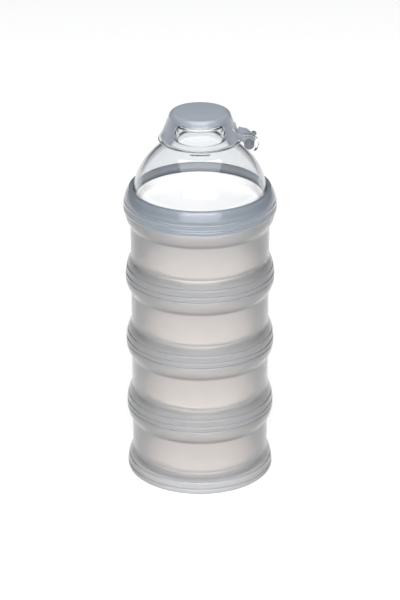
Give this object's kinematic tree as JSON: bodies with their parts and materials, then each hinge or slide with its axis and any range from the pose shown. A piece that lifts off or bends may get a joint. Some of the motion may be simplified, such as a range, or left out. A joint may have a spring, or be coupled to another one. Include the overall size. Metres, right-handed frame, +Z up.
{
  "type": "formula dispenser",
  "caption": "Stacking milk powder dispenser: translucent snap-together cups under a clear pouring dome with a tinted collar and a hinged spout cap.",
  "frame": {"origin": "centre of the bottom cup's rim plane, which stands on the table", "axes": "+Z up the stack, +X towards the cap's hinge, turned 9 degrees to -Y"},
  "size_m": [0.0816, 0.0816, 0.206],
  "materials": {
    "cup_plastic": "frosted translucent grey, softly glossy outside",
    "gasket_silicone": "translucent soft silicone, matt",
    "lid_plastic": "opaque off-white, fine matt",
    "clear_plastic": "clear, polished",
    "tinted_plastic": "translucent blue-grey, glossy",
    "hinge_plastic": "dark blue-grey, glossy"
  },
  "bodies": {
    "cup_1": {"container_1": "cup_plastic", "gasket_1": "gasket_silicone"},
    "cup_2": {"container_2": "cup_plastic", "gasket_2": "gasket_silicone"},
    "cup_3": {"container_3": "cup_plastic", "gasket_3": "gasket_silicone"},
    "cup_4": {"container_4": "cup_plastic", "gasket_4": "gasket_silicone"},
    "inner_lid": {"inner_lid": "lid_plastic"},
    "dome_unit": {"dome": "clear_plastic", "collar": "tinted_plastic", "hinge_ring": "hinge_plastic", "hinge_pin": "hinge_plastic"},
    "cap_unit": {"cap": "tinted_plastic", "cap_seal": "gasket_silicone", "brim_ring": "clear_plastic", "hinge_cover": "clear_plastic"}
  },
  "joints": [
    {"name": "cup_2_lift", "type": "slide", "parent": "cup_1", "child": "cup_2", "axis": [0, 0, 1], "range_m": [0, 0.045]},
    {"name": "cup_3_lift", "type": "slide", "parent": "cup_2", "child": "cup_3", "axis": [0, 0, 1], "range_m": [0, 0.045]},
    {"name": "cup_4_lift", "type": "slide", "parent": "cup_3", "child": "cup_4", "axis": [0, 0, 1], "range_m": [0, 0.045]},
    {"name": "inner_lid_lift", "type": "slide", "parent": "cup_4", "child": "inner_lid", "axis": [0, 0, 1], "range_m": [0, 0.035]},
    {"name": "dome_lift", "type": "slide", "parent": "inner_lid", "child": "dome_unit", "axis": [0, 0, 1], "range_m": [0, 0.05]},
    {"name": "cap_flip", "type": "hinge", "parent": "dome_unit", "child": "cap_unit", "pos_m": [0.02667, -0.00422, 0.1913], "axis": [0.1564, 0.9877, 0], "range_deg": [0, 150]}
  ]
}
